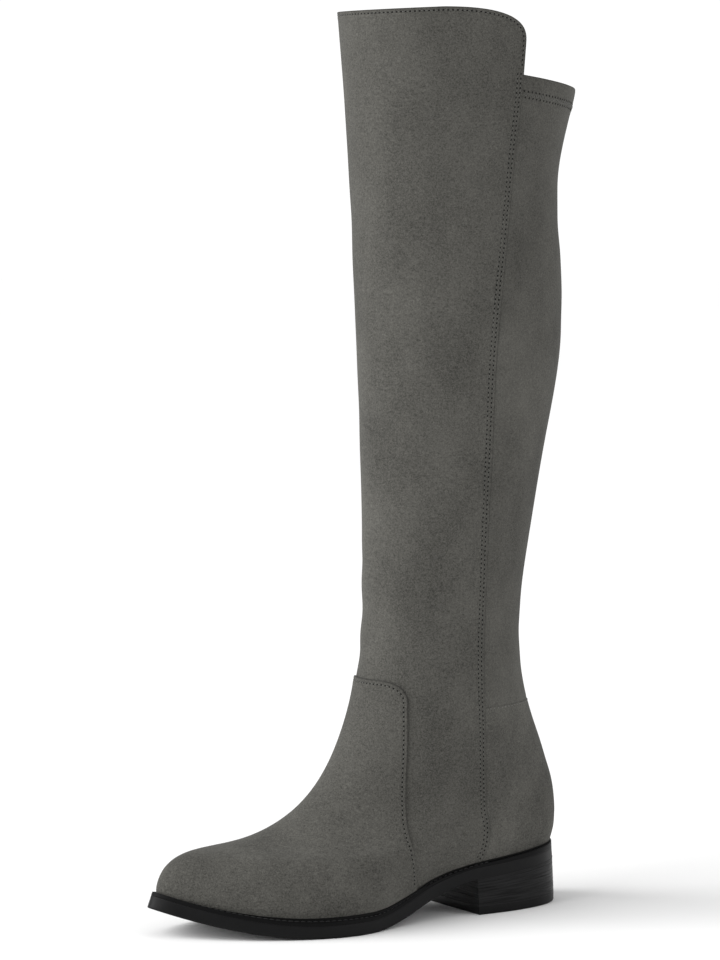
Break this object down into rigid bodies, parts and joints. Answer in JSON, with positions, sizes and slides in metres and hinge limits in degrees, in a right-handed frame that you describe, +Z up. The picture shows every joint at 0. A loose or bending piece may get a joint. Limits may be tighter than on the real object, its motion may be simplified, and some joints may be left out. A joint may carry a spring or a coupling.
{
  "type": "over-the-knee boot",
  "caption": "Low-heeled over-the-knee boot: hollow suede shaft with a lower stretch back panel, stitched vamp, welt, outsole and stacked block heel.",
  "frame": {"origin": "middle of the heel's bottom face, on the floor", "axes": "+Z up the shaft, -Y towards the toe, +X towards the outer side of this left boot"},
  "size_m": [0.1248, 0.274, 0.528],
  "materials": {
    "suede": "matte napped grey suede",
    "welt_rubber": "satin black",
    "sole_rubber": "satin black",
    "heel_stack": "satin black with fine layer lines",
    "lift_rubber": "matte black",
    "sock": "matte grey"
  },
  "bodies": {
    "root": {"upper": "suede", "vamp": "suede", "welt": "welt_rubber", "outsole": "sole_rubber", "heel_block": "heel_stack", "heel_lift": "lift_rubber", "insole": "sock"}
  },
  "joints": []
}
